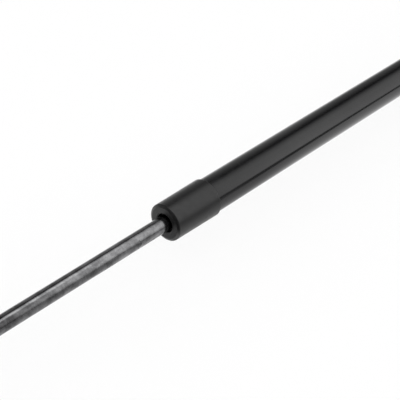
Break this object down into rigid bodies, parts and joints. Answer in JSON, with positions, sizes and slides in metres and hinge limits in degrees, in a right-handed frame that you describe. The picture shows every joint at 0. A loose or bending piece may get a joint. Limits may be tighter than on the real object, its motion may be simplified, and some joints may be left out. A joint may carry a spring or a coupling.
{
  "type": "gas strut stay",
  "caption": "Gas spring stay: a ground rod slides in a painted tube with a dust cap, with a clipped ball joint on a screw-on plate at each end.",
  "frame": {"origin": "centre of the frame plate's mounting face, under the frame ball", "axes": "+Z out of the mounting faces towards the strut, +X along the strut from the rod end to the tube end"},
  "size_m": [0.528, 0.04, 0.0301],
  "materials": {
    "gloss_black_paint": "gloss",
    "cap_plastic": "satin",
    "ground_rod": "ground and polished",
    "socket_nylon": "satin",
    "zinc_plate": "zinc plated",
    "plated_stud": "zinc plated",
    "spring_wire": "drawn",
    "plain_steel": "turned",
    "cast_alloy": "machined",
    "rubber": "matte",
    "guide_acetal": "satin",
    "ring_plastic": "satin"
  },
  "bodies": {
    "frame_plate": {"frame_plate": "zinc_plate"},
    "frame_stud": {"frame_ball_stud": "plated_stud"},
    "tube": {"frame_socket": "socket_nylon", "frame_clip": "spring_wire", "pressure_tube": "gloss_black_paint", "end_plug": "plain_steel", "plug_seal_ring": "rubber", "dust_cap": "cap_plastic", "wiper_ring": "rubber", "rod_guide": "guide_acetal", "rod_seal": "rubber", "seal_washer": "plain_steel"},
    "piston_ring": {"piston_ring": "ring_plastic"},
    "rod": {"piston_rod": "ground_rod", "rebound_collar": "plain_steel", "piston": "cast_alloy", "piston_washer": "plain_steel", "rod_socket": "socket_nylon", "rod_clip": "spring_wire"},
    "lid_stud": {"lid_ball_stud": "plated_stud"},
    "lid_plate": {"lid_plate": "zinc_plate"}
  },
  "joints": [
    {"name": "frame_ball_swing", "type": "hinge", "parent": "frame_plate", "child": "frame_stud", "pos_m": [0, 0, 0.02], "axis": [0, 0, 1], "continuous": true},
    {"name": "frame_ball_tilt", "type": "hinge", "parent": "frame_stud", "child": "tube", "pos_m": [0, 0, 0.02], "axis": [0, 1, 0], "range_deg": [-15, 15]},
    {"name": "rod_slide", "type": "slide", "parent": "tube", "child": "piston_ring", "axis": [1, 0, 0], "range_m": [0, 0.2], "stiffness_N_per_m": 200, "springref_m": -0.5},
    {"name": "rod_spin", "type": "hinge", "parent": "piston_ring", "child": "rod", "pos_m": [-0.25, 0, 0.02], "axis": [1, 0, 0], "continuous": true},
    {"name": "lid_ball_tilt", "type": "hinge", "parent": "rod", "child": "lid_stud", "pos_m": [-0.5, 0, 0.02], "axis": [0, 1, 0], "range_deg": [-15, 15]},
    {"name": "lid_ball_swing", "type": "hinge", "parent": "lid_stud", "child": "lid_plate", "pos_m": [-0.5, 0, 0.02], "axis": [0, 0, 1], "continuous": true}
  ]
}
